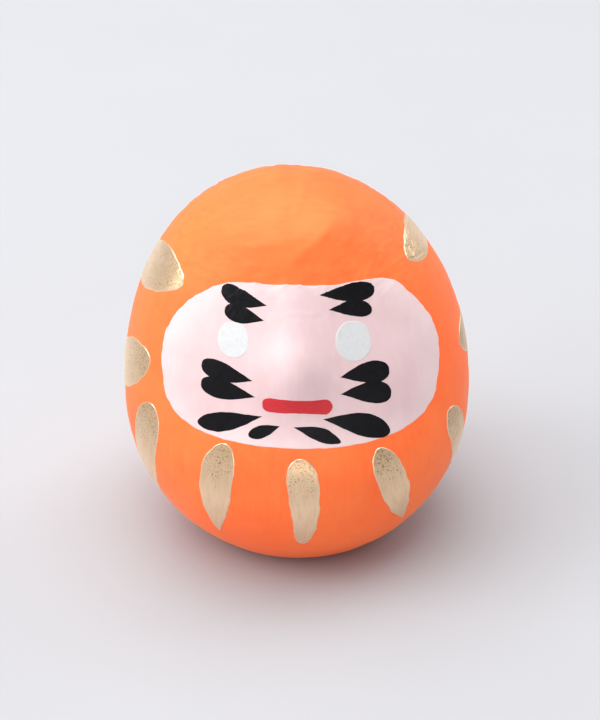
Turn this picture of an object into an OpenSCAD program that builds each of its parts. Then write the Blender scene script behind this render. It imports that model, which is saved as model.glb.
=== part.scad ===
// Daruma doll: a hollow papier-mache egg on a clay weight, white ground, orange coat, painted
// face and nine gold brush strokes. All lengths in millimetres, all angles in degrees.
// The doll looks toward -Y and stands on z = 0. "left" is the left side as you face the doll (-X).

/* [Body] */
// Width across the fullest level
body_w = 70; // [60:0.5:80]
// Height from the table to the crown
body_h = 75.5; // [66:0.5:86]
// Height of the fullest level above the table
full_z = 30; // [25:0.5:36]
// How far the round underside would reach below the fullest level if it were not pressed flat
under_reach = 36; // [33:0.5:42]
// Fullness of the upper half, 2 is an ellipse and more is squarer
upper_fullness = 2.1; // [1.9:0.05:2.6]
// Fullness of the lower half
lower_fullness = 2.0; // [1.9:0.05:2.6]
// How far the hand-made crown leans to the left
crown_lean = 1.6; // [0:0.1:3]
// Height of the hand-made waviness of the wall
hand_wave = 0.22; // [0:0.02:0.4]

/* [Layers] */
// Thickness of the papier-mache wall
paper_t = 1.4; // [1:0.1:2.4]
// Thickness of the white shell-powder ground
ground_t = 0.25; // [0.15:0.05:0.5]
// Thickness of the orange coat and of the face coat
coat_t = 0.2; // [0.1:0.05:0.4]
// Thickness of one brush mark
mark_t = 0.15; // [0.1:0.05:0.3]
// Clear space between a mark and the coat under it
mark_gap = 0.08; // [0.05:0.01:0.15]
// Radius of the paper disc under the base
base_r = 15; // [12:0.5:16]
// Thickness of the paper disc
base_t = 0.6; // [0.4:0.1:1]
// Radius of the hole in the bottom of the paper shell, where the clay goes in
hole_r = 11; // [9:0.5:12]
// Height of the top of the clay weight above the table
clay_top = 11; // [8:0.5:16]
// Width of the cut down the back by which the shell comes off its form
slit_w = 0.4; // [0.2:0.1:0.8]

/* [Relief of the face] */
// Depth of the shallow dish that holds the face
dish_depth = 3.6; // [0:0.1:4.5]
// Height of the nose above the dish
nose_height = 2.8; // [0:0.1:4]
// Height of the bridge between the eyes
bridge_height = 0.9; // [0:0.1:3]
// Height of the ridge above the face
hood_height = 0.9; // [0:0.1:2]
// Height of the fold over the forehead, on the right above the ridge
fold_height = 0.9; // [0:0.1:1.5]
// Height of the cheeks
cheek_height = 0.6; // [0:0.1:2]

/* [Face panel] */
// Latitude that the face looks along, above level
face_lat = 33; // [25:1:45]
// Half the width of the panel
face_half_w = 25.5; // [20:0.1:28]
// Panel centre, toward the right and up
face_shift = [1.0, 0.5]; // [-2:0.1:2]
// Height of the panel above and below its centre
face_up = 14.9; // [10:0.1:17]
face_down = 14.9; // [10:0.1:17]

/* [Hidden] */
widest_r = body_w / 2;
upper_reach = body_h - full_z;
template_r = 34.1;
foot_gap = 0.15;
columns = 48;
ground_lift = -coat_t;
paper_lift = ground_lift - ground_t;
hollow_lift = paper_lift - paper_t;
clay_lift = hollow_lift - 0.45;
low_rows = [-62.6, -58.5, -54.5, -50];
high_rows = [for (a = [-44:6:82]) a];

// ---- the surface of the doll ----

// Direction from the doll's centre: az runs from the front round to the right, lat is above level.
function toward(az, lat) = [sin(az) * cos(lat), -cos(az) * cos(lat), sin(lat)];

// Distance from the centre to the plain egg.
function egg(lat) =
  let (b = lat > 0 ? upper_reach : under_reach, n = lat > 0 ? upper_fullness : lower_fullness)
  pow(pow(cos(lat) / widest_r, n) + pow(abs(sin(lat)) / b, n), -1 / n);

// A rounded rise about (az0, lat0). tilt is how far its middle climbs per degree to the right.
function swell(az, lat, az0, lat0, wide, tall, p, tilt = 0) =
  exp(-pow(abs(az - az0) / wide, p) - pow(abs(lat - lat0 - tilt * (az - az0)) / tall, p));

function hand_made(az, lat) =
  hand_wave * cos(lat) * (0.5 * sin(2 * az + 30) + 0.3 * sin(3 * az + lat) + 0.2 * sin(5 * az - 2 * lat));

// Everything pressed in or built up on the egg.
function relief(az, lat) =
  let (a = az > 180 ? az - 360 : az)
  hand_made(a, lat)
  - dish_depth * swell(a, lat, 0, 33, 50, 27, 4)
  + nose_height * swell(a, lat, 0, 33, 11, 10, 2)
  + bridge_height * swell(a, lat, -1, 46, 9, 12, 2)
  + hood_height * swell(a, lat, 0, 67, 45, 7, 2)
  + fold_height * swell(a, lat, 28, 69, 30, 5, 2, 0.1)
  + cheek_height * swell(a, lat, -38, 22, 13, 12, 2)
  + cheek_height * swell(a, lat, 38, 22, 13, 12, 2);

// Distance from the centre to the painted surface, pressed flat underneath.
function reach(az, lat, lift) =
  let (e = egg(lat) + relief(az, lat) + lift)
  lat > -20 ? e : let (p = (full_z - foot_gap + lift) / -sin(lat)) pow(pow(e, -40) + pow(p, -40), -1 / 40);

function lean(z) = -crown_lean * pow(max(z, 0) / upper_reach, 2);

// Point on the surface, raised by lift.
function skin(az, lat, lift) =
  let (p = toward(az, lat) * reach(az, lat, lift))
  [p[0] + lean(p[2]), p[1], p[2] + full_z];

function skin_along(d, lift) = let (u = d / norm(d)) skin(atan2(u[0], -u[1]), asin(u[2]), lift);

// ---- closed lofts ----

// A closed solid from a first point, a row of loops and a last point.
module closed_loft(first, loops, last) {
  n = len(loops[0]);
  m = len(loops);
  points = concat([first], [for (l = loops) each l], [last]);
  head = [for (i = [0:n - 1]) [0, 1 + (i + 1) % n, 1 + i]];
  side = [for (k = [0:m - 2], i = [0:n - 1]) let (a = 1 + k * n + i, b = 1 + k * n + (i + 1) % n)
    each [[a, b, b + n], [a, b + n, a + n]]];
  end = [for (i = [0:n - 1]) [1 + m * n, 1 + (m - 1) * n + i, 1 + (m - 1) * n + (i + 1) % n]];
  polyhedron(points = points, faces = concat(head, side, end), convexity = 4);
}

// Rows of the shells, from the base up. A deeper first row makes a smaller hole in the bottom.
function rows(deepest) = concat(deepest < low_rows[0] ? [deepest] : [], low_rows, high_rows, [86.5]);

function ring(lat, lift) = [for (i = [0:columns - 1]) skin(i * 360 / columns, lat, lift)];

// A hollow shell between two lifts, open at the base.
module shell(inner, outer, deepest) {
  r = rows(deepest);
  k = len(r) - 1;
  down = [for (i = [0:k]) ring(r[k - i], outer)];
  up = [for (i = [0:k]) ring(r[i], inner)];
  closed_loft(skin(0, 90, outer), concat(down, up), skin(0, 90, inner));
}

// ---- the face panel ----

// Direction of a spot on the face, given on a flat template in millimetres.
function face_dir(x, y) =
  let (f = [0, -cos(face_lat), sin(face_lat)], up = [0, sin(face_lat), cos(face_lat)])
  ([x, 0, 0] + y * up + sqrt(max(template_r * template_r - x * x - y * y, 1)) * f) / template_r;

function signed_pow(v, p) = sign(v) * pow(abs(v), p);

function edge_bump(t, at, wide) = exp(-pow((t - at) / wide, 2));

// The hand-cut line round the panel. It dips over the nose and has one raised corner.
function face_edge(t) =
  let (
    n = t < 90 ? 3.0 : t < 180 ? 3.2 : t < 270 ? 2.2 : 2.1,
    high = (t < 180 ? face_up : face_down) * signed_pow(sin(t), 2 / n)
      - 1.65 * edge_bump(t, 90, 12) + 0.8 * edge_bump(t, 66, 10),
    wide = face_half_w * signed_pow(cos(t), 2 / n) + 0.05 * high,
    k = 1 - 0.027 * sin(3 * t + 21)
  )
  k * (face_shift + [wide, high]);

// A cone from the doll's centre out through the line round the panel.
module face_cone() {
  steps = 60;
  centre = [0, 0, full_z];
  rim = [for (i = [0:steps - 1]) let (p = face_edge(i * 360 / steps)) centre + 60 * face_dir(p[0], p[1])];
  closed_loft(centre + 60 * face_dir(0, 0), [rim], centre);
}

// ---- brush marks ----

function arc_dir(d0, d1, u) =
  let (a = acos(d0 * d1)) (sin((1 - u) * a) * d0 + sin(u * a) * d1) / sin(a);

// Half width of a brush mark along its length: head of a given fullness, middle, drawn-out tip.
function brush(u, head, tail, tip, full) =
  pow(max(1 - pow(1 - min(u / head, 1), full), 0), 1 / full)
  * pow(max(cos(90 * max((u - 1 + tail) / tail, 0)), 0), tip);

// One mark laid on the coat from direction d0 to d1. shape is [head, tail, tip, fullness, waist].
module mark(d0, d1, width, bow, shape) {
  steps = 12;
  side = cross(d1, d0) / norm(cross(d1, d0));
  section = [[1, 0.4], [0.6, 1], [0, 1], [-0.6, 1], [-1, 0.4], [0, 0]];
  loops = [for (i = [1:steps - 1])
    let (
      u = (1 - cos(180 * i / steps)) / 2,
      half = width / 2 * brush(u, shape[0], shape[1], shape[2], shape[3]) * (1 - shape[4] * sin(180 * u)),
      mid = arc_dir(d0, d1, u)
    )
    [for (s = section)
      skin_along(mid + side * tan((bow * 4 * u * (1 - u) + s[0] * half) * 180 / PI / template_r),
        mark_gap + s[1] * mark_t)]];
  tip_lift = mark_gap + 0.4 * mark_t;
  closed_loft(skin_along(d0, tip_lift), loops, skin_along(d1, tip_lift));
}

// A mark on the face, given from its head to its tip on the template.
module face_mark(from, to, width, bow = 0, shape = petal) {
  mark(face_dir(from[0], from[1]), face_dir(to[0], to[1]), width, bow, shape);
}

// A gold stroke, given from its start to its end as [az, lat].
module gold_mark(from, to, width, bow = 0, shape = pull) {
  color([0.87, 0.72, 0.52]) mark(toward(from[0], from[1]), toward(to[0], to[1]), width, bow, shape);
}

module black_mark(from, to, width, bow = 0, shape = petal) {
  color([0.12, 0.1, 0.1]) face_mark(from, to, width, bow, shape);
}

petal = [0.34, 0.72, 1.15, 2.3, 0];
leaf = [0.36, 0.68, 1.15, 1.85, 0];
seed = [0.46, 0.7, 1.1, 1.7, 0];
dot = [0.55, 0.45, 0.42, 2.3, 0];
bar = [0.26, 0.11, 0.58, 2.9, 0.17];
pull = [0.22, 0.6, 1.0, 1.8, 0];
long_pull = [0.18, 0.81, 0.4, 1.85, 0];
side_pull = [0.4, 0.5, 0.8, 1.8, 0];

// ---- the pieces ----

module paper_shell() {
  color([0.78, 0.72, 0.62]) difference() {
    shell(hollow_lift, paper_lift, -69.5);
    translate([-slit_w / 2, 10, full_z - 16]) cube([slit_w, 40, 46]);
  }
}

module seam_strip() {
  inside = hollow_lift - 0.02;
  r = [for (a = rows(low_rows[0])) if (a > -30 && a < 66) a];
  across = [172.5, 180, 187.5];
  loops = [for (a = r)
    concat([for (z = across) skin(z, a, inside - 0.3)], [for (i = [2:-1:0]) skin(across[i], a, inside)])];
  k = len(r) - 1;
  color([0.93, 0.9, 0.82]) closed_loft(skin(180, r[0], inside - 0.15), loops, skin(180, r[k], inside - 0.15));
}

module clay_weight() {
  wall = [for (a = [-66:3:-36]) let (d = reach(90, a, clay_lift)) [d * cos(a), full_z + d * sin(a)]];
  kept = [for (p = wall) if (p[1] < clay_top - 0.6) p];
  edge = kept[len(kept) - 1];
  color([0.56, 0.42, 0.32]) rotate_extrude($fn = 64)
    polygon(concat(
      [[0, base_t], [hole_r - 0.4, base_t], [hole_r - 0.4, kept[0][1]]],
      kept,
      [[edge[0] - 0.5, clay_top], [0, clay_top - 0.8]]));
}

module base_paper() {
  color([0.93, 0.9, 0.82]) cylinder(r = base_r, h = base_t, $fn = 96);
}

module ground_coat() {
  color([0.96, 0.95, 0.92]) shell(paper_lift, ground_lift, low_rows[0]);
}

module orange_coat() {
  color([0.98, 0.5, 0.22]) difference() {
    shell(ground_lift, 0, low_rows[0]);
    face_cone();
  }
}

module face_coat() {
  color([0.96, 0.87, 0.87]) intersection() {
    shell(ground_lift, 0, low_rows[0]);
    face_cone();
  }
}

module eye_left() {
  color([0.97, 0.97, 0.96]) face_mark([-10.4, 9.3], [-11.4, 3.3], 6.2, 0.0, dot);
}

module eye_right() {
  color([0.97, 0.97, 0.96]) face_mark([10.2, 9.4], [10.8, 2.6], 7.0, 0.0, dot);
}

module brow_left_upper() {
  black_mark([-11.6, 14.1], [-4.0, 11.4], 2.7, 0.4, petal);
}

module brow_left_lower() {
  black_mark([-11.7, 11.0], [-4.8, 9.2], 2.4, 0.1, petal);
}

module brow_right_upper() {
  black_mark([13.3, 14.1], [4.0, 12.8], 2.6, -0.3, petal);
}

module brow_right_lower() {
  black_mark([13.3, 11.0], [5.7, 10.7], 2.4, 0.2, petal);
}

module cheek_left_upper() {
  black_mark([-17.3, 2.5], [-7.8, -1.1], 3.4, 0.4, petal);
}

module cheek_left_lower() {
  black_mark([-17.8, -1.6], [-7.6, -4.2], 3.4, 0.0, petal);
}

module cheek_right_upper() {
  black_mark([17.3, 1.2], [8.1, -0.4], 3.8, 0.1, petal);
}

module cheek_right_lower() {
  black_mark([18.0, -3.3], [8.3, -3.6], 4.0, 0.4, petal);
}

module mouth() {
  color([0.77, 0.2, 0.2]) face_mark([-6.6, -5.6], [7.1, -6.0], 3.4, 0.1, bar);
}

module beard_left_outer() {
  black_mark([-19.2, -8.7], [-6.4, -7.9], 4.1, 0.3, leaf);
}

module beard_left_inner() {
  black_mark([-9.5, -11.6], [-3.0, -9.8], 2.7, 0.0, leaf);
}

module beard_right_inner() {
  black_mark([8.6, -12.8], [-0.9, -10.0], 3.1, 0.3, seed);
}

module beard_right_outer() {
  black_mark([18.0, -10.5], [4.9, -8.5], 4.8, 0.6, leaf);
}

module gold_belly_centre() {
  gold_mark([0.9, 5.5], [2.2, -32.0], 6.1, -0.6, long_pull);
}

module gold_belly_left() {
  gold_mark([-24.0, 7.8], [-30.9, -32.8], 6.8, 0.5, pull);
}

module gold_belly_right() {
  gold_mark([26.9, 5.7], [44.2, -31.4], 6.1, 0.2, pull);
}

module gold_hip_left() {
  gold_mark([-54.9, 11.0], [-69.8, -37.4], 8.6, 0.6, pull);
}

module gold_hip_right() {
  gold_mark([58.9, 7.4], [78.9, -32.4], 6.5, -1.4, pull);
}

module gold_side_left() {
  gold_mark([-59.3, 24.7], [-101.3, 2.7], 9.6, -0.8, side_pull);
}

module gold_side_right() {
  gold_mark([75.0, 23.5], [116.0, 12.0], 8.4, 0.0, side_pull);
}

module gold_shoulder_left() {
  gold_mark([-54.7, 49.9], [-114.3, 35.4], 8.1, -0.8, side_pull);
}

module gold_shoulder_right() {
  gold_mark([65.8, 53.9], [116.5, 51.1], 5.6, 0.8, side_pull);
}

paper_shell();
seam_strip();
clay_weight();
base_paper();
ground_coat();
orange_coat();
face_coat();
eye_left();
eye_right();
brow_left_upper();
brow_left_lower();
brow_right_upper();
brow_right_lower();
cheek_left_upper();
cheek_left_lower();
cheek_right_upper();
cheek_right_lower();
mouth();
beard_left_outer();
beard_left_inner();
beard_right_inner();
beard_right_outer();
gold_belly_centre();
gold_belly_left();
gold_belly_right();
gold_hip_left();
gold_hip_right();
gold_side_left();
gold_side_right();
gold_shoulder_left();
gold_shoulder_right();
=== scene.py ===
import math

import bmesh
import bpy
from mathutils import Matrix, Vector


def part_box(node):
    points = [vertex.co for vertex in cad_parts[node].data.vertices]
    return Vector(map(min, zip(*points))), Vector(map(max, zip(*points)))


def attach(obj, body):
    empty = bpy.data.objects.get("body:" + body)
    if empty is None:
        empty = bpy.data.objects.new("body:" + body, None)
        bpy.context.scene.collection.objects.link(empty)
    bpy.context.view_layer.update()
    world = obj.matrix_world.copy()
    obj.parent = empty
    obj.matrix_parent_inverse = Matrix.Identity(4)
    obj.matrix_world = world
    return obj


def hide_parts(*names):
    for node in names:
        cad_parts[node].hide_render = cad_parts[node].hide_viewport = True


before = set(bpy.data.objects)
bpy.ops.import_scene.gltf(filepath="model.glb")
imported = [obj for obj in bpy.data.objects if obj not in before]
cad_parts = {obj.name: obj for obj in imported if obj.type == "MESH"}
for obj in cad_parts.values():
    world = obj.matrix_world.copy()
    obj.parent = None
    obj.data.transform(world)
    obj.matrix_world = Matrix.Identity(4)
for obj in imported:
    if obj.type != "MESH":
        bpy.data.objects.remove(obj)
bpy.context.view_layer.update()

MM = 0.001

# Short names for the kinds of node used most.
NOISE = "ShaderNodeTexNoise"
RANGE = "ShaderNodeMapRange"
BUMP = "ShaderNodeBump"
M = "ShaderNodeMath:"
V = "ShaderNodeVectorMath:"

# ---------------------------------------------------------------- the doll's sizes, in millimetres

WALL = {
    "Width": 70.0,
    "Height": 75.5,
    "Full level": 30.0,
    "Under reach": 36.0,
    "Upper fullness": 2.1,
    "Lower fullness": 2.0,
    "Foot gap": 0.15,
    "Crown lean": 1.6,
    "Hand wave": 0.22,
    "Dish depth": 3.6,
    "Nose height": 2.8,
    "Bridge height": 0.9,
    "Hood height": 0.9,
    "Fold height": 0.9,
    "Crease height": 0.34,
    "Cheek height": 0.6,
    "Lump height": 0.22,
    "Lump size": 8.0,
    "Lump seed": 4.0,
    "Wrinkle height": 0.2,
}

# Where each swelling of the face sits: azimuth, latitude, spread round, spread up, squareness, tilt.
SWELLINGS = (
    ("Dish depth", -1, (0, 33, 50, 27, 4, 0)),
    ("Nose height", 1, (0, 33, 11, 10, 2, 0)),
    ("Bridge height", 1, (-1, 46, 9, 12, 2, 0)),
    ("Hood height", 1, (0, 67, 45, 7, 2, 0)),
    ("Fold height", 1, (28, 69, 30, 5, 2, 0.1)),
    ("Crease height", 1, (16, 66, 17, 1.1, 2, 0.24)),
    ("Crease height", 1, (-14, 66, 15, 1.0, 2, 0.1)),
    ("Cheek height", 1, (-38, 22, 13, 12, 2, 0)),
    ("Cheek height", 1, (38, 22, 13, 12, 2, 0)),
)

# The foot is pressed below this latitude; a greater sharpness gives a harder edge round it.
FOOT_FROM_LAT = -20.0
FOOT_SHARPNESS = 40.0

# The face panel is drawn on a flat template laid on the doll at this latitude.
FACE_LAT = 33.0
TEMPLATE_R = 34.1
FACE_HALF_W = 25.5
FACE_SHIFT = (1.0, 0.5)
FACE_UP, FACE_DOWN = 14.9, 14.9


def sind(a):
    return math.sin(math.radians(a))


def cosd(a):
    return math.cos(math.radians(a))


def toward(az, lat):
    """Direction from the doll's centre. az turns from the front to the right, lat rises from level."""
    return Vector((sind(az) * cosd(lat), -cosd(az) * cosd(lat), sind(lat)))


def face_dir(x, y):
    """Direction of a spot on the face, given in millimetres on a flat template laid on it."""
    ahead = Vector((0, -cosd(FACE_LAT), sind(FACE_LAT)))
    up = Vector((0, sind(FACE_LAT), cosd(FACE_LAT)))
    depth = math.sqrt(max(TEMPLATE_R**2 - x * x - y * y, 1))
    return (Vector((x, 0, 0)) + y * up + depth * ahead) / TEMPLATE_R


def signed_pow(v, p):
    return math.copysign(abs(v) ** p, v)


def face_edge(t):
    """The painted line round the face at clock angle t, on the template."""
    fullness = 3.0 if t < 90 else 3.2 if t < 180 else 2.2 if t < 270 else 2.1
    high = (FACE_UP if t < 180 else FACE_DOWN) * signed_pow(sind(t), 2 / fullness)
    high += 0.8 * math.exp(-(((t - 66) / 10) ** 2)) - 1.65 * math.exp(-(((t - 90) / 12) ** 2))
    wide = FACE_HALF_W * signed_pow(cosd(t), 2 / fullness) + 0.05 * high
    bristle = 0.05 * sind(23 * t + 15) + 0.035 * sind(41 * t + 70) + 0.02 * sind(67 * t)
    k = 1 - 0.027 * sind(3 * t + 21) + bristle / FACE_HALF_W
    return k * (FACE_SHIFT[0] + wide), k * (FACE_SHIFT[1] + high)


# ---------------------------------------------------------------- nodes and colours


def colour(code):
    """A paint colour given as an sRGB hex code, turned to linear."""
    parts = [int(code[i : i + 2], 16) / 255 for i in (1, 3, 5)]
    return [p / 12.92 if p <= 0.04045 else ((p + 0.055) / 1.055) ** 2.4 for p in parts] + [1.0]


def add(tree, kind, *feeds, out=0, pins=None, **settings):
    """Adds a node. feeds fill its inputs in order, pins by name or number; each is a value or an output."""
    kind, _, operation = kind.partition(":")
    node = tree.nodes.new(kind)
    if operation:
        node.operation = operation
    for name, value in settings.items():
        setattr(node, name, value)
    for place, feed in list(enumerate(feeds)) + list((pins or {}).items()):
        if isinstance(feed, bpy.types.NodeSocket):
            tree.links.new(feed, node.inputs[place])
        elif feed is not None:
            node.inputs[place].default_value = feed
    return node.outputs[out] if node.outputs else node


def new_tree(name, inputs, outputs):
    """An empty geometry tree with its named inputs and outputs."""
    tree = bpy.data.node_groups.new(name, "GeometryNodeTree")
    for side, sockets in (("INPUT", inputs), ("OUTPUT", outputs)):
        for label, kind, value in sockets:
            socket = tree.interface.new_socket(label, in_out=side, socket_type="NodeSocket" + kind)
            if value is not None:
                socket.default_value = value
    return tree, tree.nodes.new("NodeGroupInput").outputs, tree.nodes.new("NodeGroupOutput").inputs


# ---------------------------------------------------------------- the wall of the doll


def wall_rule():
    """Turns a direction and a lift into a point of the doll's wall: egg, pressed foot, face relief."""
    sizes = [(name, "Float", value) for name, value in WALL.items()]
    tree, given, result = new_tree(
        "wall of the doll",
        [("Direction", "Vector", None), ("Lift", "Float", 0.0)] + sizes,
        [("Place", "Vector", None)],
    )
    direction = given["Direction"]
    apart = add(tree, "ShaderNodeSeparateXYZ", direction).node
    x, y, z = apart.outputs
    level = add(tree, M + "SQRT", add(tree, M + "MULTIPLY_ADD", y, y, add(tree, M + "MULTIPLY", x, x)))
    az = add(tree, M + "DEGREES", add(tree, M + "ARCTAN2", x, add(tree, M + "MULTIPLY", y, -1.0)))
    lat = add(tree, M + "DEGREES", add(tree, M + "ARCSINE", z))
    above = add(tree, M + "GREATER_THAN", z, 0.0)

    upper = add(tree, M + "SUBTRACT", given["Height"], given["Full level"])
    reach = add(tree, "ShaderNodeMix", above, pins={2: given["Under reach"], 3: upper})
    power = add(tree, "ShaderNodeMix", above, pins={2: given["Lower fullness"], 3: given["Upper fullness"]})
    half = add(tree, M + "MULTIPLY", given["Width"], 0.5)
    round_part = add(tree, M + "POWER", add(tree, M + "DIVIDE", level, half), power)
    tall_part = add(tree, M + "POWER", add(tree, M + "DIVIDE", add(tree, M + "ABSOLUTE", z), reach), power)
    root = add(tree, M + "DIVIDE", -1.0, power)
    far = add(tree, M + "POWER", add(tree, M + "ADD", round_part, tall_part), root)

    wave = None
    for share, turns, rise, start in ((0.5, 2, 0, 30), (0.3, 3, 1, 0), (0.2, 5, -2, 0)):
        angle = add(tree, M + "MULTIPLY_ADD", lat, float(rise), float(start))
        angle = add(tree, M + "RADIANS", add(tree, M + "MULTIPLY_ADD", az, float(turns), angle))
        part = add(tree, M + "MULTIPLY", add(tree, M + "SINE", angle), share)
        wave = part if wave is None else add(tree, M + "ADD", wave, part)
    wave = add(tree, M + "MULTIPLY", add(tree, M + "MULTIPLY", wave, level), given["Hand wave"])
    far = add(tree, M + "ADD", far, wave)

    for name, sign, (az0, lat0, wide, tall, square, tilt) in SWELLINGS:
        fall = None
        past = add(tree, M + "SUBTRACT", az, float(az0))
        untilted = add(tree, M + "MULTIPLY_ADD", past, -float(tilt), lat)
        for angle, middle, spread in ((az, az0, wide), (untilted, lat0, tall)):
            off = add(tree, M + "DIVIDE", add(tree, M + "SUBTRACT", angle, float(middle)), float(spread))
            off = add(tree, M + "POWER", add(tree, M + "ABSOLUTE", off), float(square))
            fall = off if fall is None else add(tree, M + "ADD", fall, off)
        swell = add(tree, M + "EXPONENT", add(tree, M + "MULTIPLY", fall, -1.0))
        rise = add(tree, M + "MULTIPLY", given[name], float(sign))
        far = add(tree, M + "MULTIPLY_ADD", swell, rise, far)

    # Shallow lumps left by pasting the paper by hand, and finer ones inside them.
    for part, shrink in ((1.0, 1.0), (0.3, 0.36)):
        scale = add(tree, M + "DIVIDE", 35.0 / shrink, given["Lump size"])
        lump = add(
            tree, NOISE, noise_dimensions="4D",
            pins={"Vector": direction, "W": given["Lump seed"], "Scale": scale, "Detail": 1.0},
        )
        lump = add(tree, M + "SUBTRACT", lump, 0.5)
        rise = add(tree, M + "MULTIPLY", given["Lump height"], 2.0 * part)
        far = add(tree, M + "MULTIPLY_ADD", lump, rise, far)

    # Low wrinkles that run round the crown, where the paper strips were turned over it.
    turned = add(tree, V + "MULTIPLY", direction, (5.0, 5.0, 17.0))
    wrinkle = add(
        tree, NOISE, pins={"Vector": turned, "Scale": 1.0, "Detail": 3.0, "Distortion": 0.8}
    )
    wrinkle = add(tree, M + "ABSOLUTE", add(tree, M + "SUBTRACT", wrinkle, 0.5))
    wrinkle = add(tree, RANGE, wrinkle, 0.0, 0.07, 1.0, 0.0, interpolation_type="SMOOTHSTEP")
    on_crown = add(tree, RANGE, z, 0.72, 0.88)
    wrinkle = add(tree, M + "MULTIPLY", wrinkle, on_crown)
    far = add(tree, M + "MULTIPLY_ADD", wrinkle, given["Wrinkle height"], far)
    far = add(tree, M + "ADD", far, given["Lift"])

    # The underside is pressed flat while the paper is damp.
    down = add(tree, M + "MAXIMUM", add(tree, M + "MULTIPLY", z, -1.0), 0.01)
    table = add(tree, M + "SUBTRACT", given["Full level"], given["Foot gap"])
    table = add(tree, M + "ADD", table, given["Lift"])
    share = add(tree, M + "DIVIDE", far, add(tree, M + "DIVIDE", table, down))
    share = add(tree, M + "POWER", share, FOOT_SHARPNESS)
    share = add(tree, M + "MULTIPLY", share, add(tree, M + "LESS_THAN", z, sind(FOOT_FROM_LAT)))
    press = add(tree, M + "POWER", add(tree, M + "ADD", share, 1.0), -1 / FOOT_SHARPNESS)
    far = add(tree, M + "MULTIPLY", far, press)

    place = add(tree, V + "SCALE", direction, pins={"Scale": far})
    high = add(tree, M + "MAXIMUM", add(tree, M + "MULTIPLY", z, far), 0.0)
    lean = add(tree, M + "POWER", add(tree, M + "DIVIDE", high, upper), 2.0)
    lean = add(tree, M + "MULTIPLY", add(tree, M + "MULTIPLY", lean, given["Crown lean"]), -1.0)
    shift = add(tree, "ShaderNodeCombineXYZ", lean, 0.0, given["Full level"])
    place = add(tree, V + "ADD", place, shift)
    tree.links.new(add(tree, V + "SCALE", place, pins={"Scale": MM}), result["Place"])
    return tree


wall = wall_rule()


def wall_place(tree, given, direction, lift):
    """Uses the wall rule inside another tree, with that tree's own sizes."""
    pins = {"Direction": direction, "Lift": lift, **{name: given[name] for name in WALL}}
    node = tree.nodes.new("GeometryNodeGroup")
    node.node_tree = wall
    for name, feed in pins.items():
        tree.links.new(feed, node.inputs[name])
    return node.outputs["Place"]


def coat_tree():
    """Lays a chart of directions on the wall. The lift at each spot is read from the chart's 'lift'
    attribute.
    """
    sizes = [(name, "Float", value) for name, value in WALL.items()]
    tree, given, result = new_tree(
        "coat on the wall",
        [("Chart", "Geometry", None), ("Finish", "Material", None)] + sizes,
        [("Coat", "Geometry", None)],
    )
    spot = add(tree, "GeometryNodeInputPosition")
    lift = add(tree, "GeometryNodeInputNamedAttribute", "lift", data_type="FLOAT")
    direction = add(tree, V + "NORMALIZE", spot)
    place = wall_place(tree, given, direction, lift)
    coat = add(tree, "GeometryNodeSetPosition", given["Chart"], None, place)
    coat = add(tree, "GeometryNodeSetShadeSmooth", coat)
    coat = add(tree, "GeometryNodeRealizeInstances", coat)
    coat = add(tree, "GeometryNodeSetMaterial", coat, None, given["Finish"])
    tree.links.new(coat, result["Coat"])
    return tree


# A brush film: how fast it rises from its edge (per mm), where its bead lies and how wide it is, how
# far its edge is sunk in the coat and how deep its underside is buried, in millimetres.
FILM_RISE = 7.0
BEAD_IN = 0.22
BEAD_WIDTH = 0.13
EDGE_SINK = 0.03
FILM_BURIED = 0.1


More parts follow.
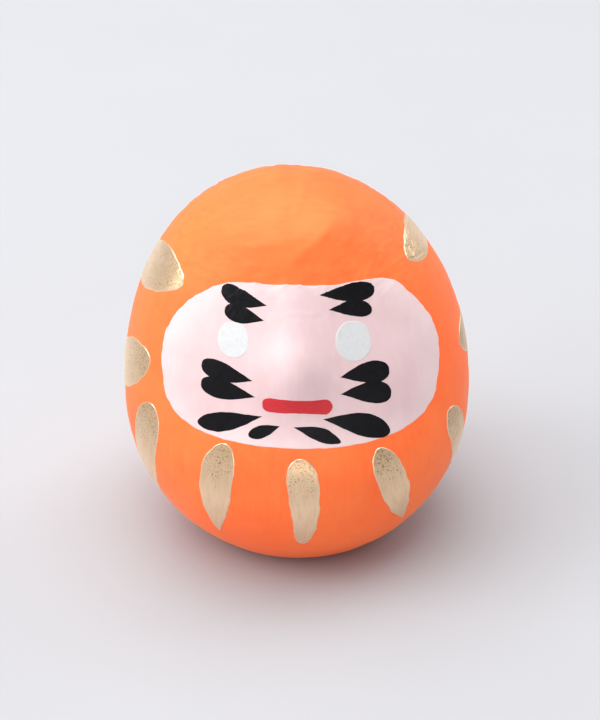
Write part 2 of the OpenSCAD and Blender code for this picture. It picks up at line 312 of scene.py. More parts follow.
def brush_tree():
    """One brush mark laid on the wall: a closed film with a thin raised rim where the paint gathered."""
    own = [
        ("Mark", "Geometry", None), ("Finish", "Material", None),
        ("From", "Vector", None), ("To", "Vector", None),
        ("Mark width", "Float", 4.0), ("Bow", "Float", 0.0), ("Length", "Float", 9.0),
        ("Head", "Float", 0.3), ("Tail", "Float", 0.7), ("Tip", "Float", 1.0),
        ("Fullness", "Float", 2.0), ("Waist", "Float", 0.0),
        ("Thickness", "Float", 0.13), ("Rim", "Float", 0.06),
        ("Wander", "Float", 0.2), ("Wander size", "Float", 2.2), ("Seed", "Float", 1.0),
        ("Steps along", "Int", 120), ("Steps round", "Int", 44),
    ]
    sizes = [(name, "Float", value) for name, value in WALL.items()]
    tree, given, result = new_tree("brush mark", own + sizes, [("Mark", "Geometry", None)])
    sheet = add(tree, "GeometryNodeMeshGrid", 1.0, 1.0, given["Steps along"], given["Steps round"])
    spot = add(tree, "ShaderNodeSeparateXYZ", add(tree, "GeometryNodeInputPosition")).node
    along = add(tree, M + "ADD", spot.outputs[0], 0.5)
    around = add(tree, M + "MULTIPLY", add(tree, M + "ADD", spot.outputs[1], 0.5), 2 * math.pi)
    # Closer steps at both ends of the mark.
    u = add(tree, M + "COSINE", add(tree, M + "MULTIPLY", along, math.pi))
    u = add(tree, M + "MULTIPLY_ADD", u, -0.5, 0.5)
    v = add(tree, M + "COSINE", around)
    on_top = add(tree, M + "GREATER_THAN", add(tree, M + "SINE", around), 0.0)

    # The arc from start to end, and the way across it.
    turn = add(tree, M + "ARCCOSINE", add(tree, V + "DOT_PRODUCT", given["From"], given["To"], out=1))
    across = add(tree, V + "NORMALIZE", add(tree, V + "CROSS_PRODUCT", given["To"], given["From"]))
    rest = add(tree, M + "SUBTRACT", 1.0, u)
    whole = add(tree, M + "SINE", turn)
    ends = []
    for share, end in ((rest, "From"), (u, "To")):
        weight = add(tree, M + "SINE", add(tree, M + "MULTIPLY", share, turn))
        weight = add(tree, M + "DIVIDE", weight, whole)
        ends.append(add(tree, V + "SCALE", given[end], pins={"Scale": weight}))
    middle = add(tree, V + "ADD", *ends)

    def beside(reach):
        """The spot this many millimetres to the side of the arc."""
        step = add(tree, M + "DIVIDE", reach, TEMPLATE_R)
        return add(tree, V + "ADD", middle, add(tree, V + "SCALE", across, pins={"Scale": step}))

    # Round head, drawn-out tip, pinched waist.
    head = add(tree, M + "MINIMUM", add(tree, M + "DIVIDE", u, given["Head"]), 1.0)
    head = add(tree, M + "SUBTRACT", 1.0, head)
    head = add(tree, M + "SUBTRACT", 1.0, add(tree, M + "POWER", head, given["Fullness"]))
    head = add(tree, M + "POWER", head, add(tree, M + "DIVIDE", 1.0, given["Fullness"]))
    tail = add(tree, M + "SUBTRACT", u, add(tree, M + "SUBTRACT", 1.0, given["Tail"]))
    tail = add(tree, M + "MAXIMUM", add(tree, M + "DIVIDE", tail, given["Tail"]), 0.0)
    tail = add(tree, M + "COSINE", add(tree, M + "MULTIPLY", tail, math.pi / 2))
    tail = add(tree, M + "POWER", add(tree, M + "MAXIMUM", tail, 0.0), given["Tip"])
    waist = add(tree, M + "SINE", add(tree, M + "MULTIPLY", u, math.pi))
    waist = add(tree, M + "MULTIPLY", given["Waist"], waist)
    body = add(tree, M + "MULTIPLY", head, tail)
    body = add(tree, M + "MULTIPLY", body, add(tree, M + "SUBTRACT", 1.0, waist))
    half = add(tree, M + "MULTIPLY", add(tree, M + "MULTIPLY", given["Mark width"], 0.5), body)

    # The edge wanders as the hand and the bristles do; each side wanders by itself.
    reach = add(tree, M + "MULTIPLY", v, half)
    seat = add(tree, V + "SCALE", beside(reach), pins={"Scale": TEMPLATE_R})
    grain = add(tree, M + "DIVIDE", 1.0, given["Wander size"])
    stray = add(
        tree, NOISE, noise_dimensions="4D",
        pins={"Vector": seat, "W": given["Seed"], "Scale": grain, "Detail": 2.5, "Roughness": 0.55},
    )
    stray = add(tree, M + "MULTIPLY", add(tree, M + "SUBTRACT", stray, 0.5), given["Wander"])
    room = add(tree, M + "MINIMUM", add(tree, M + "MULTIPLY", half, 2.0), 2.0)
    stray = add(tree, M + "MULTIPLY", stray, add(tree, M + "MULTIPLY", v, room))
    bow = add(tree, M + "MULTIPLY", add(tree, M + "MULTIPLY", u, rest), 4.0)
    bow = add(tree, M + "MULTIPLY", bow, given["Bow"])
    offset = add(tree, M + "ADD", add(tree, M + "ADD", reach, stray), bow)
    direction = add(tree, V + "NORMALIZE", beside(offset))

    # Distance in from the mark's edge sets the film's height: flat inside, a bead near the rim.
    in_side = add(tree, M + "SUBTRACT", 1.0, add(tree, M + "ABSOLUTE", v))
    in_side = add(tree, M + "MULTIPLY", half, in_side)
    in_end = add(tree, M + "MULTIPLY", add(tree, M + "MINIMUM", u, rest), 1.5)
    in_end = add(tree, M + "MULTIPLY", in_end, given["Length"])
    inward = add(tree, M + "MINIMUM", in_side, in_end)
    flat = add(tree, M + "EXPONENT", add(tree, M + "MULTIPLY", inward, -FILM_RISE))
    flat = add(tree, M + "SUBTRACT", 1.0, flat)
    bead = add(tree, M + "DIVIDE", add(tree, M + "SUBTRACT", inward, BEAD_IN), BEAD_WIDTH)
    bead = add(tree, M + "MULTIPLY", add(tree, M + "MULTIPLY", bead, bead), -1.0)
    bead = add(tree, M + "MULTIPLY", add(tree, M + "EXPONENT", bead), given["Rim"])
    top = add(tree, M + "MULTIPLY_ADD", flat, given["Thickness"], bead)
    top = add(tree, M + "SUBTRACT", top, EDGE_SINK)
    lift = add(tree, "ShaderNodeMix", on_top, pins={2: -FILM_BURIED, 3: top})

    for name, feed in (("along", u), ("across", v), ("inward", inward)):
        sheet = add(
            tree, "GeometryNodeStoreNamedAttribute", sheet, None, name, feed,
            data_type="FLOAT", domain="POINT",
        )
    place = wall_place(tree, given, direction, lift)
    mark = add(tree, "GeometryNodeSetPosition", sheet, None, place)
    mark = add(tree, "GeometryNodeMergeByDistance", mark, None, pins={"Distance": 2e-7})
    mark = add(tree, "GeometryNodeSetShadeSmooth", mark)
    mark = add(tree, "GeometryNodeRealizeInstances", mark)
    mark = add(tree, "GeometryNodeSetMaterial", mark, None, given["Finish"])
    tree.links.new(mark, result["Mark"])
    return tree


def grown(name, start, tree, values):
    """Runs a tree on a starting mesh and keeps the result as a plain mesh."""
    piece = bpy.data.objects.new(name, start)
    bpy.context.collection.objects.link(piece)
    growth = piece.modifiers.new("grow", "NODES")
    growth.node_group = tree
    for socket in tree.interface.items_tree:
        if socket.item_type == "SOCKET" and socket.in_out == "INPUT" and socket.name in values:
            growth[socket.identifier] = values[socket.name]
    bpy.context.view_layer.update()
    made = bpy.data.meshes.new_from_object(piece.evaluated_get(bpy.context.evaluated_depsgraph_get()))
    piece.modifiers.remove(growth)
    piece.data = made
    made.name = name
    return piece


# ---------------------------------------------------------------- finishes


def per_mm(size):
    """Texture scale that gives features of this size in millimetres on coordinates in metres."""
    return 1 / (size * MM)


def new_finish(name):
    finish = bpy.data.materials.new(name)
    finish.use_nodes = True
    tree = finish.node_tree
    tree.nodes.clear()
    shader = tree.nodes.new("ShaderNodeBsdfPrincipled")
    tree.links.new(shader.outputs[0], tree.nodes.new("ShaderNodeOutputMaterial").inputs[0])
    return finish, tree, shader


def set_pins(tree, shader, **pins):
    for name, feed in pins.items():
        socket = shader.inputs[name.replace("_", " ")]
        if isinstance(feed, bpy.types.NodeSocket):
            tree.links.new(feed, socket)
        else:
            socket.default_value = feed


MIX = {"data_type": "RGBA", "out": 2}


def orange_distemper():
    """Orange distemper brushed on by hand: dead matt and warm, with brush streaks that run across the
    crown and down the belly, faint lap marks, and a soft pale bloom where it is seen edge on."""
    finish, tree, shader = new_finish("orange distemper, brushed")
    spot = add(tree, "ShaderNodeTexCoord", out=3)
    height = add(tree, "ShaderNodeSeparateXYZ", spot, out=2)
    crown = add(tree, RANGE, height, 0.030, 0.046, 0.0, 1.0, interpolation_type="SMOOTHSTEP")
    across = add(tree, "ShaderNodeMapping", spot, None, (0.3, 0.2, 0.0), (0.14, 0.9, 1.0))
    down = add(tree, "ShaderNodeMapping", spot, None, (0.0, 0.1, 0.0), (1.0, 1.0, 0.1))
    streaks = []
    for way, size in ((down, 1.1), (across, 1.3)):
        streak = {"Vector": way, "Scale": per_mm(size), "Detail": 4.0, "Roughness": 0.6}
        streaks.append(add(tree, NOISE, pins=streak))
    streak = add(tree, "ShaderNodeMix", crown, pins={2: streaks[0], 3: streaks[1]})
    laps = add(
        tree, NOISE, pins={"Vector": spot, "Scale": per_mm(16), "Detail": 2.0, "Distortion": 0.6}
    )
    tooth = add(tree, NOISE, pins={"Vector": spot, "Scale": per_mm(0.22), "Detail": 2.0})
    coat = add(tree, RANGE, laps, 0.35, 0.65)
    coat = add(tree, "ShaderNodeMix", coat, pins={6: colour("#FF6E35"), 7: colour("#FF773B")}, **MIX)
    thin = add(tree, RANGE, streak, 0.52, 0.78, 0.0, 0.34)
    coat = add(tree, "ShaderNodeMix", thin, pins={6: coat, 7: colour("#FF8C50")}, **MIX)
    thick = add(tree, RANGE, streak, 0.46, 0.24, 0.0, 0.36)
    coat = add(tree, "ShaderNodeMix", thick, pins={6: coat, 7: colour("#F45C26")}, **MIX)
    # A few stray specks: grit under the paint, one or two to a square centimetre.
    cells = add(tree, "ShaderNodeTexVoronoi", pins={"Vector": spot, "Scale": per_mm(7)})
    near = add(tree, RANGE, cells, 0.035, 0.015)
    lot = add(tree, "ShaderNodeSeparateColor", cells.node.outputs["Color"])
    speck = add(tree, M + "MULTIPLY", near, add(tree, M + "GREATER_THAN", lot, 0.72))
    stain = add(tree, M + "MULTIPLY", speck, 0.6)
    coat = add(tree, "ShaderNodeMix", stain, pins={6: coat, 7: colour("#A9481F")}, **MIX)
    bump = None
    for height, depth, strength in ((streak, 0.05, 0.8), (tooth, 0.03, 0.8), (speck, 0.05, 0.6)):
        relief = {"Strength": strength, "Distance": depth * MM, "Height": height, "Normal": bump}
        bump = add(tree, BUMP, pins=relief)
    rough = add(tree, RANGE, streak, 0.3, 0.7, 0.52, 0.66)
    set_pins(tree, shader, Base_Color=coat, Roughness=rough, Normal=bump, IOR=1.45, Specular_IOR_Level=0.25,
             Sheen_Weight=0.12, Sheen_Roughness=0.35, Sheen_Tint=colour("#FFDCCB"))
    return finish


def face_distemper():
    """Pale pink distemper over white shell powder: chalky and nearly white, a little pinker where the
    second coat lies thick, with a white rim where the brush turned at the edge of the panel."""
    finish, tree, shader = new_finish("pale pink distemper, brushed")
    spot = add(tree, "ShaderNodeTexCoord", out=3)
    down = add(tree, "ShaderNodeMapping", spot, None, None, (1.0, 1.0, 0.22))
    streak = add(
        tree, NOISE, pins={"Vector": down, "Scale": per_mm(1.6), "Detail": 4.0, "Roughness": 0.55}
    )
    cloud = add(tree, NOISE, pins={"Vector": spot, "Scale": per_mm(9), "Detail": 2.0})
    tooth = add(tree, NOISE, pins={"Vector": spot, "Scale": per_mm(0.25), "Detail": 2.0})
    coat = add(tree, RANGE, cloud, 0.35, 0.65)
    coat = add(tree, "ShaderNodeMix", coat, pins={6: colour("#DCC0C1"), 7: colour("#D8B9BA")}, **MIX)
    thin = add(tree, RANGE, streak, 0.5, 0.75, 0.0, 0.4)
    coat = add(tree, "ShaderNodeMix", thin, pins={6: coat, 7: colour("#E3CBCA")}, **MIX)
    rim = add(tree, "ShaderNodeAttribute", attribute_name="inward", out=2)
    rim = add(tree, RANGE, rim, 4.0, 0.6, 0.0, 0.3, interpolation_type="SMOOTHSTEP")
    coat = add(tree, "ShaderNodeMix", rim, pins={6: coat, 7: colour("#E8D6D4")}, **MIX)
    bump = None
    for height, depth in ((streak, 0.03), (tooth, 0.012)):
        relief = {"Strength": 0.7, "Distance": depth * MM, "Height": height, "Normal": bump}
        bump = add(tree, BUMP, pins=relief)
    rough = add(tree, RANGE, streak, 0.3, 0.7, 0.5, 0.64)
    set_pins(tree, shader, Base_Color=coat, Roughness=rough, Normal=bump, IOR=1.45, Specular_IOR_Level=0.25,
             Sheen_Weight=0.05, Sheen_Roughness=0.4)
    return finish


def glue_paint(name, base, light, dark, rough_low, rough_high, shine=0.25, soft=0.16):
    """Pigment bound in hide glue, laid on in one pull of the brush: a soft shine broken by bristle
    streaks along the mark, a thinner edge, and fine dust caught in the surface."""
    finish, tree, shader = new_finish(name)
    spot = add(tree, "ShaderNodeTexCoord", out=3)
    along = add(tree, "ShaderNodeAttribute", attribute_name="along", out=2)
    across = add(tree, "ShaderNodeAttribute", attribute_name="across", out=2)
    inward = add(tree, "ShaderNodeAttribute", attribute_name="inward", out=2)
    way = add(tree, "ShaderNodeCombineXYZ", add(tree, M + "MULTIPLY", along, 1.4), across, 0.0)
    streak = add(tree, NOISE, pins={"Vector": way, "Scale": 5.0, "Detail": 4.0, "Roughness": 0.6})
    pool = add(tree, NOISE, pins={"Vector": spot, "Scale": per_mm(1.4), "Detail": 3.0})
    grain = add(tree, NOISE, pins={"Vector": spot, "Scale": per_mm(0.2), "Detail": 1.0})
    coat = add(tree, RANGE, streak, 0.35, 0.68)
    coat = add(tree, "ShaderNodeMix", coat, pins={6: colour(base), 7: colour(dark)}, **MIX)
    thin = add(tree, RANGE, inward, soft, 0.02, 0.0, 0.7)
    coat = add(tree, "ShaderNodeMix", thin, pins={6: coat, 7: colour(light)}, **MIX)
    dust = add(tree, RANGE, grain, 0.66, 0.78, 0.0, 0.3)
    coat = add(tree, "ShaderNodeMix", dust, pins={6: coat, 7: colour(light)}, **MIX)
    bump = None
    for height, depth, strength in ((streak, 0.05, 0.8), (pool, 0.07, 0.8), (grain, 0.008, 0.6)):
        relief = {"Strength": strength, "Distance": depth * MM, "Height": height, "Normal": bump}
        bump = add(tree, BUMP, pins=relief)
    rough = add(tree, RANGE, pool, 0.35, 0.65, rough_low, rough_high)
    set_pins(tree, shader, Base_Color=coat, Roughness=rough, Normal=bump, IOR=1.5, Specular_IOR_Level=shine)
    return finish


def gold_powder():
    """Brass powder in clear binder, pulled on with a flat brush: champagne metal with a satin shine, a
    pale rim painted in as a highlight along the raised bead, and darker specks where the powder is
    thin at the start of the pull."""
    finish, tree, shader = new_finish("brass powder paint")
    spot = add(tree, "ShaderNodeTexCoord", out=3)
    along = add(tree, "ShaderNodeAttribute", attribute_name="along", out=2)
    across = add(tree, "ShaderNodeAttribute", attribute_name="across", out=2)
    inward = add(tree, "ShaderNodeAttribute", attribute_name="inward", out=2)
    way = add(tree, "ShaderNodeCombineXYZ", along, across, 0.0)
    streak = add(tree, NOISE, pins={"Vector": way, "Scale": 4.0, "Detail": 3.0})
    flakes = add(
        tree, NOISE, pins={"Vector": spot, "Scale": per_mm(0.33), "Detail": 2.0, "Roughness": 0.55}
    )
    patch = add(tree, NOISE, pins={"Vector": spot, "Scale": per_mm(3.2), "Detail": 2.0})
    shine = add(tree, NOISE, pins={"Vector": spot, "Scale": per_mm(0.3), "Detail": 2.0})
    start = add(tree, RANGE, along, 0.08, 0.5, 1.0, 0.0)
    worn = add(tree, M + "MULTIPLY_ADD", patch, 1.1, add(tree, M + "MULTIPLY", start, 0.55))
    cut = add(tree, RANGE, worn, 0.5, 1.1, 0.7, 0.52)
    speck = add(tree, M + "SUBTRACT", flakes, cut)
    speck = add(tree, RANGE, speck, 0.0, 0.1, 0.0, 0.85)
    inside = add(tree, RANGE, inward, 0.15, 0.5)
    speck = add(tree, M + "MULTIPLY", speck, inside)
    coat = add(tree, RANGE, streak, 0.35, 0.65)
    coat = add(tree, "ShaderNodeMix", coat, pins={6: colour("#F8DCBB"), 7: colour("#EFCFA9")}, **MIX)
    dull = add(tree, M + "MULTIPLY", start, 0.6)
    coat = add(tree, "ShaderNodeMix", dull, pins={6: coat, 7: colour("#AC8C64")}, **MIX)
    # Painted highlight: a pale cream colour laid along the raised bead at the stroke's edge.
    rim = add(tree, RANGE, inward, 0.3, 0.1, 0.0, 0.7)
    coat = add(tree, "ShaderNodeMix", rim, pins={6: coat, 7: colour("#F2D9BE")}, **MIX)
    coat = add(tree, "ShaderNodeMix", speck, pins={6: coat, 7: colour("#8A7052")}, **MIX)
    bump = None
    for height, depth, strength in ((streak, 0.02, 0.5), (shine, 0.03, 0.8), (speck, 0.03, 0.7)):
        relief = {"Strength": strength, "Distance": depth * MM, "Height": height, "Normal": bump}
        bump = add(tree, BUMP, pins=relief, invert=height is speck)
    metal = add(tree, RANGE, speck, 0.0, 1.0, 0.85, 0.4)
    rough = add(tree, RANGE, speck, 0.0, 1.0, 0.38, 0.62)
    set_pins(tree, shader, Base_Color=coat, Metallic=metal, Roughness=rough, Normal=bump)
    return finish


def pulp(name, pale, deep, fibre, rough):
    """Paper, clay or chalk: a dull body with fibres or grains of the given size in millimetres."""
    finish, tree, shader = new_finish(name)
    spot = add(tree, "ShaderNodeTexCoord", out=3)
    long = add(tree, "ShaderNodeMapping", spot, None, (0.4, 0.3, 0.9), (0.2, 1.0, 1.0))
    fibres = add(
        tree, NOISE, pins={"Vector": long, "Scale": per_mm(fibre), "Detail": 4.0, "Distortion": 1.2}
    )
    cloud = add(tree, NOISE, pins={"Vector": spot, "Scale": per_mm(fibre * 9), "Detail": 2.0})
    coat = add(tree, "ShaderNodeMix", cloud, pins={6: colour(pale), 7: colour(deep)}, **MIX)
    lit = add(tree, RANGE, fibres, 0.5, 0.72, 0.0, 0.6)
    coat = add(tree, "ShaderNodeMix", lit, pins={6: coat, 7: colour(pale)}, **MIX)
    bump = add(tree, BUMP, pins={"Strength": 0.7, "Distance": 0.05 * MM, "Height": fibres})
    set_pins(tree, shader, Base_Color=coat, Roughness=rough, Normal=bump, IOR=1.45)
    return finish


# ---------------------------------------------------------------- the coats


def chart(name, rings):
    """A mesh of directions. Each ring is a list of (direction, lift, inward); ends close on a point."""
    columns = max(len(ring) for ring in rings)
    spots, faces, starts = [], [], []
    for ring in rings:
        starts.append(len(spots))
        spots += ring
    for a, b, ra, rb in zip(starts, starts[1:], rings, rings[1:]):
        for i in range(columns):
            j = (i + 1) % columns
            if len(ra) == 1:
                faces.append((a, b + i, b + j))
            elif len(rb) == 1:
                faces.append((a + j, a + i, b))
            else:
                faces.append((a + j, a + i, b + i, b + j))
    mesh = bpy.data.meshes.new(name)
    mesh.from_pydata([s[0] for s in spots], [], faces)
    for label, place in (("lift", 1), ("inward", 2)):
        layer = mesh.attributes.new(label, "FLOAT", "POINT")
        layer.data.foreach_set("value", [float(s[place]) for s in spots])
    return mesh


def even_clock(count):
    """Clock angles that step evenly along the painted line."""
    fine = [k / 10 for k in range(3600)]
    spots = [face_edge(t) for t in fine]
    run = [0.0]
    for a, b in zip(spots, spots[1:] + spots[:1]):
        run.append(run[-1] + math.dist(a, b))
    clock, k = [], 0
    for i in range(count):
        while run[k + 1] <= run[-1] * i / count:
            k += 1
        clock.append(fine[k] + 0.1 * (run[-1] * i / count - run[k]) / (run[k + 1] - run[k]))
    return clock


# Height of the coats' faces above the doll's surface, in millimetres.
PINK_TOP = 0.03
PINK_UNDER = -0.15
ORANGE_UNDER = -0.18
# How the pink coat rounds off: distance in from the painted line, and height there.
PINK_EDGE = (
    (0.55, 0.03), (0.42, 0.03), (0.32, 0.032), (0.22, 0.03), (0.13, 0.022), (0.06, 0.005), (0.0, -0.04),
)
# How the orange coat runs out underneath the pink one.
ORANGE_EDGE = ((0.9, -0.16), (0.6, -0.1), (0.3, -0.05), (0.1, -0.02))
# About how far the middle of the panel is from its line.
PANEL_REACH = 20
# How finely the coats are charted: steps round the painted line, and rings on each of their faces.
LINE_STEPS = 420
PINK_RINGS, PINK_UNDER_RINGS = 52, 26
ORANGE_RINGS, ORANGE_UNDER_RINGS = 150, 60
# The outermost rings of the pink coat's top give way to its rounded edge.
RINGS_LEFT_TO_EDGE = 3

CLOCK = even_clock(LINE_STEPS)
FACE_MIDDLE = face_dir(0, 0)


def panel_spot(t, inward):
    """Direction of the spot this many millimetres in from the painted line, at clock angle t."""
    x, y = face_edge(t)
    dx, dy = x - FACE_SHIFT[0], y - FACE_SHIFT[1]
    k = 1 - inward / math.hypot(dx, dy)
    return face_dir(FACE_SHIFT[0] + k * dx, FACE_SHIFT[1] + k * dy)


def panel_share(t, share):
    """Direction of the spot this share of the way from the panel's middle out to the painted line."""
    x, y = [c + share * (e - c) for c, e in zip(FACE_SHIFT, face_edge(t))]
    return face_dir(x, y)


def beyond(t, share):
    """Direction beyond the painted line: share runs from 0 on the line to 1 at the point behind."""
    start = panel_spot(t, 0.0)
    out = start - start.dot(FACE_MIDDLE) * FACE_MIDDLE
    out.normalize()
    first = math.acos(start.dot(FACE_MIDDLE))
    angle = first + (math.pi - first) * share
    return math.cos(angle) * FACE_MIDDLE + math.sin(angle) * out


def face_chart():
    """The pink film: top from the middle out to the rounded edge at the line, then back underneath."""
    middle = face_dir(*FACE_SHIFT)
    top = [[(middle, PINK_TOP, PANEL_REACH)]]
    for share in [k / PINK_RINGS for k in range(1, PINK_RINGS - RINGS_LEFT_TO_EDGE)]:
        inward = PANEL_REACH * (1 - share)
        top.append([(panel_share(t, share), PINK_TOP, inward) for t in CLOCK])
    for inward, lift in PINK_EDGE:
        top.append([(panel_spot(t, inward), lift, inward) for t in CLOCK])
    under = []
    for share in [k / PINK_UNDER_RINGS for k in range(PINK_UNDER_RINGS - 1, 0, -1)]:
        under.append([(panel_share(t, share), PINK_UNDER, 1) for t in CLOCK])
    return chart("face_film", top + under + [[(middle, PINK_UNDER, 1)]])


def orange_chart():
    """The orange film: from under the pink edge round to a closed point behind, and back inside."""
    top = []
    for inward, lift in ORANGE_EDGE:
        top.append([(panel_spot(t, inward), lift, 0) for t in CLOCK])
    for share in [k / ORANGE_RINGS for k in range(1, ORANGE_RINGS)]:
        top.append([(beyond(t, share), 0.0, 0) for t in CLOCK])
    behind = -FACE_MIDDLE
    top.append([(behind, 0.0, 0)])
    inside = [[(behind, ORANGE_UNDER, 0)]]
    for share in [k / ORANGE_UNDER_RINGS for k in range(ORANGE_UNDER_RINGS - 1, 0, -1)]:
        inside.append([(beyond(t, share), ORANGE_UNDER, 0) for t in CLOCK])
    inside.append([(panel_spot(t, ORANGE_EDGE[0][0]), ORANGE_UNDER, 0) for t in CLOCK])
    return chart("orange_film", inside + top)


coat_rule = coat_tree()
orange = orange_distemper()
pink = face_distemper()

orange_film = grown("orange_film", orange_chart(), coat_rule, {"Finish": orange, **WALL})
face_film = grown("face_film", face_chart(), coat_rule, {"Finish": pink, **WALL})

# ---------------------------------------------------------------- the brush marks

brush_rule = brush_tree()
white = glue_paint("white shell-powder paint", "#CACBCB", "#DCCACA", "#D1D2D2", 0.4, 0.55, 0.2, 0.55)
black = glue_paint("black soot ink in glue", "#0A090D", "#26232A", "#100F13", 0.32, 0.5, 0.13)
red = glue_paint("red ochre in glue", "#CB3137", "#D24B4E", "#BF2930", 0.3, 0.46)
gold = gold_powder()

# How a mark narrows: head and tail as shares of the length, sharpness of the tip, fullness, waist.
PETAL = {"Head": 0.34, "Tail": 0.72, "Tip": 1.15, "Fullness": 2.3, "Waist": 0.0}
LEAF = {"Head": 0.36, "Tail": 0.68, "Tip": 1.15, "Fullness": 1.85, "Waist": 0.0}
SEED = {"Head": 0.46, "Tail": 0.7, "Tip": 1.1, "Fullness": 1.7, "Waist": 0.0}
DOT = {"Head": 0.55, "Tail": 0.45, "Tip": 0.42, "Fullness": 2.3, "Waist": 0.0}
BAR = {"Head": 0.26, "Tail": 0.11, "Tip": 0.58, "Fullness": 2.9, "Waist": 0.17}
PULL = {"Head": 0.22, "Tail": 0.6, "Tip": 1.0, "Fullness": 1.8, "Waist": 0.0}
LONG_PULL = {"Head": 0.18, "Tail": 0.81, "Tip": 0.4, "Fullness": 1.85, "Waist": 0.0}
SIDE_PULL = {"Head": 0.4, "Tail": 0.5, "Tip": 0.8, "Fullness": 1.8, "Waist": 0.0}

# Face marks: head and tip on the face template, full width, sideways bow.
FACE_MARKS = {
    "eye_left": ((-10.4, 9.3), (-11.4, 3.3), 6.2, 0, DOT, white),
    "eye_right": ((10.2, 9.4), (10.8, 2.6), 7, 0, DOT, white),
    "brow_left_upper": ((-11.6, 14.1), (-4, 11.4), 3, 0.4, PETAL, black),
    "brow_left_lower": ((-11.7, 11.2), (-4.8, 9.2), 3.0, 0.1, PETAL, black),
    "brow_right_upper": ((13.3, 14.1), (4, 12.8), 3, -0.3, PETAL, black),
    "brow_right_lower": ((13.3, 11.2), (5.7, 10.8), 2.8, 0.2, PETAL, black),
    "cheek_left_upper": ((-17.3, 2.4), (-7.8, -1.1), 3.9, 0.3, PETAL, black),
    "cheek_left_lower": ((-17.9, -1.2), (-7.6, -4.2), 4.2, 0.1, PETAL, black),
    "cheek_right_upper": ((17.3, 1.1), (8.1, -0.4), 4.3, 0.2, PETAL, black),
    "cheek_right_lower": ((18, -3.2), (8.3, -3.6), 4.5, 0.4, PETAL, black),
    "mouth": ((-6.6, -5.6), (7.1, -6), 3.4, 0.1, BAR, red),
    "beard_left_outer": ((-19.2, -8.7), (-6.4, -7.9), 4.1, 0.3, LEAF, black),
    "beard_left_inner": ((-9.5, -11.6), (-3, -9.8), 2.7, 0, LEAF, black),
    "beard_right_inner": ((8.6, -12.8), (-0.9, -10), 3.1, 0.3, SEED, black),
    "beard_right_outer": ((18, -10.5), (4.9, -8.5), 4.8, 0.6, LEAF, black),
}

# Gold strokes: start and end as azimuth and latitude, full width, sideways bow.
GOLD_MARKS = {
    "gold_belly_centre": ((0.9, 5.5), (2.2, -32), 6.1, -0.6, LONG_PULL),
    "gold_belly_left": ((-24, 7.8), (-30.9, -32.8), 6.8, 0.5, PULL),
    "gold_belly_right": ((26.9, 5.7), (44.2, -31.4), 6.1, 0.2, PULL),
    "gold_hip_left": ((-54.9, 11), (-69.8, -37.4), 8.6, 0.6, PULL),
    "gold_hip_right": ((58.9, 7.4), (78.9, -32.4), 6.5, -1.4, PULL),
    "gold_side_left": ((-59.3, 24.7), (-101.3, 2.7), 9.6, -0.8, SIDE_PULL),
    "gold_side_right": ((75, 23.5), (116, 12), 8.4, 0, SIDE_PULL),
    "gold_shoulder_left": ((-54.7, 49.9), (-114.3, 35.4), 8.1, -0.8, SIDE_PULL),
    "gold_shoulder_right": ((65.8, 53.9), (116.5, 51.1), 5.6, 0.8, SIDE_PULL),
}


def painted_mark(name, start, end, width, bow, shape, finish, seed, **more):
    """Lays one brush mark on the wall."""
    length = math.acos(start.dot(end)) * TEMPLATE_R
    values = {
        "Finish": finish, "From": list(start), "To": list(end), "Mark width": width, "Bow": float(bow),
        "Length": length, "Seed": float(seed), **shape, **more, **WALL,
    }
    return grown(name + "_paint", bpy.data.meshes.new(name), brush_rule, values)


# The face is painted with a loaded pointed brush, the gold with a flat one whose edge strays more.
POINTED_BRUSH = {"Rim": 0.02, "Thickness": 0.14}
FLAT_BRUSH = {"Wander": 0.5, "Wander size": 3.0}

marks = {}
for seed, (name, (start, end, width, bow, shape, finish)) in enumerate(FACE_MARKS.items(), 3):
    ends = face_dir(*start), face_dir(*end)
    marks[name] = painted_mark(name, *ends, width, bow, shape, finish, seed, **POINTED_BRUSH)
for seed, (name, (start, end, width, bow, shape)) in enumerate(GOLD_MARKS.items(), 31):
    ends = toward(*start), toward(*end)
    marks[name] = painted_mark(name, *ends, width, bow, shape, gold, seed, **FLAT_BRUSH)

# ---------------------------------------------------------------- the disc under the base


def base_disc():
    """The washi disc pasted under the base, with a soft torn-cut edge."""
    build = bmesh.new()
    low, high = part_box("base_paper")
    radius = (high[0] - low[0]) / 2
    thick = 0.14 * MM
    # From the middle below, round the soft edge, to the middle above: shares of radius and thickness.
    flat = [(0.0, 0.0), (0.5, 0.0), (0.97, 0.0)]
    profile = flat + [(0.995, 0.1), (1.0, 0.4), (0.998, 0.7), (0.985, 0.95), (0.5, 1.0), (0.0, 1.0)]
    turns = 160
    rings = []
    for share, up in profile:
        if share == 0:
            rings.append([build.verts.new((0, 0, up * thick))])
            continue
        ring = []
        for i in range(turns):
            a = 2 * math.pi * i / turns
            torn = 1 - 0.006 * (0.5 + 0.5 * math.sin(7 * a + 1) * math.sin(19 * a)) * share**4
            out = radius * share * torn
            ring.append(build.verts.new((out * math.cos(a), out * math.sin(a), up * thick)))
        rings.append(ring)
    for below, over in zip(rings, rings[1:]):
        for i in range(turns):
            j = (i + 1) % turns
            if len(below) == 1:
                build.faces.new((below[0], over[j], over[i]))
            elif len(over) == 1:
                build.faces.new((below[i], below[j], over[0]))
            else:
                build.faces.new((below[i], below[j], over[j], over[i]))
    mesh = bpy.data.meshes.new("base_disc")
    build.to_mesh(mesh)
    build.free()
    for face in mesh.polygons:
        face.use_smooth = True
    piece = bpy.data.objects.new("base_disc", mesh)
    bpy.context.collection.objects.link(piece)
    return piece


washi = pulp("mulberry paper, pasted", "#EFE8D8", "#DED3BC", 0.5, 0.85)
disc = base_disc()
disc.data.materials.append(washi)

# ---------------------------------------------------------------- the pieces inside

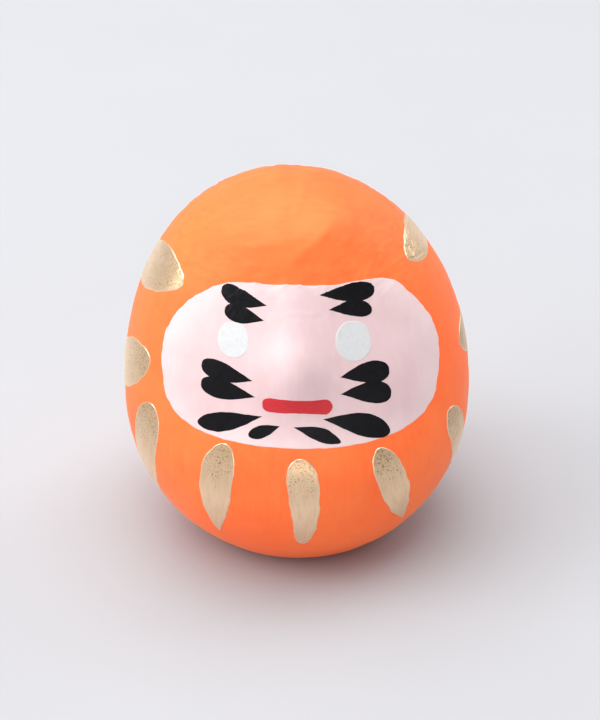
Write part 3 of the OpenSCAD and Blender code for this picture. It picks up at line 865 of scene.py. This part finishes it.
INSIDE = {
    "paper_shell": pulp("papier-mache wall", "#CDBFA6", "#AD9C80", 0.8, 0.9),
    "seam_strip": washi,
    "clay_weight": pulp("dried river clay", "#9A7457", "#7E5B42", 0.6, 0.95),
    "ground_coat": pulp("white shell-powder ground", "#F6F3EC", "#E9E4DA", 0.3, 0.8),
}
for node, finish in INSIDE.items():
    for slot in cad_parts[node].material_slots:
        slot.material = finish

# ---------------------------------------------------------------- riding and replacing


for piece, node, slot in (
    (orange_film, "orange_coat", "orange_paint"),
    (face_film, "face_coat", "face_paint"),
    (disc, "base_paper", "washi"),
):
    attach(piece, "root")
    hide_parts(node)
for name, piece in marks.items():
    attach(piece, "root")
    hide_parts(name)

# ---------------------------------------------------------------- floor, light, camera


def studio_paper():
    """A sheet of matt studio paper: almost even, with the faintest cloudiness."""
    finish, tree, shader = new_finish("matt studio paper")
    spot = add(tree, "ShaderNodeTexCoord", out=3)
    cloud = add(tree, NOISE, pins={"Vector": spot, "Scale": per_mm(60), "Detail": 3.0})
    coat = add(tree, "ShaderNodeMix", cloud, pins={6: colour("#ABACAF"), 7: colour("#AEAFB2")}, **MIX)
    grain = add(tree, NOISE, pins={"Vector": spot, "Scale": per_mm(0.5), "Detail": 2.0})
    bump = add(tree, BUMP, pins={"Strength": 0.3, "Distance": 0.02 * MM, "Height": grain})
    set_pins(tree, shader, Base_Color=coat, Roughness=0.9, Normal=bump, Specular_IOR_Level=0.2)
    return finish


def studio_floor():
    build = bmesh.new()
    bmesh.ops.create_grid(build, x_segments=24, y_segments=24, size=4.0)
    mesh = bpy.data.meshes.new("studio_floor")
    build.to_mesh(mesh)
    build.free()
    mesh.materials.append(studio_paper())
    floor = bpy.data.objects.new("studio_floor", mesh)
    bpy.context.collection.objects.link(floor)
    return floor


studio_floor()


def soft_light(name, place, size, power, tint):
    """A soft box at this place in metres, turned toward the doll."""
    lamp = bpy.data.lights.new(name, "AREA")
    lamp.shape = "RECTANGLE"
    lamp.size, lamp.size_y = size
    lamp.energy = power
    lamp.color = tint
    box = bpy.data.objects.new(name, lamp)
    bpy.context.collection.objects.link(box)
    box.location = place
    box.rotation_euler = (Vector((0, 0, 0.035)) - Vector(place)).to_track_quat("-Z", "Y").to_euler()
    return box


soft_light("overhead", (-0.25, 0.16, 1.3), (1.9, 1.9), 32.5, (1.0, 1.0, 1.0))
soft_light("window_left", (-1.1, -0.3, 0.6), (0.9, 0.9), 9.6, (1.0, 0.99, 0.98))
soft_light("window_right", (0.9, 0.6, 0.7), (0.8, 0.8), 4.2, (1.0, 1.0, 1.0))
soft_light("fill_low", (0.1, -1.2, 0.12), (1.0, 0.2), 3.6, (1.0, 0.97, 0.96))

sky = bpy.data.worlds.new("studio_air")
bpy.context.scene.world = sky
sky.use_nodes = True
air = sky.node_tree
air.nodes.clear()
way = add(air, "ShaderNodeTexCoord", out=0)
toward_back = add(air, V + "DOT_PRODUCT", way, (0.0, 0.6, 0.8), out=1)
shade = add(air, RANGE, toward_back, -0.4, 0.9, 0.0, 1.0, interpolation_type="SMOOTHSTEP")
tone = add(air, "ShaderNodeMix", shade, pins={6: colour("#B4B4B8"), 7: colour("#BCBDC0")}, **MIX)
glow = add(air, "ShaderNodeBackground", tone, 1.0)
air.links.new(glow, air.nodes.new("ShaderNodeOutputWorld").inputs[0])

RISE = 30.0
AWAY = 0.425
AIM = Vector((0.0006, 0.0, 0.0369)) + Vector((0, -sind(RISE), -cosd(RISE))) * 0.0013

camera = bpy.data.objects.new("camera", bpy.data.cameras.new("camera"))
bpy.context.collection.objects.link(camera)
camera.data.sensor_width = 36
camera.data.lens = 105
camera.data.clip_start = 0.01
camera.data.clip_end = 50
camera.location = AIM + AWAY * Vector((0, -cosd(RISE), sind(RISE)))
camera.rotation_euler = (math.radians(90 - RISE), 0, 0)
bpy.context.scene.camera = camera
bpy.context.scene.view_settings.view_transform = "Standard"
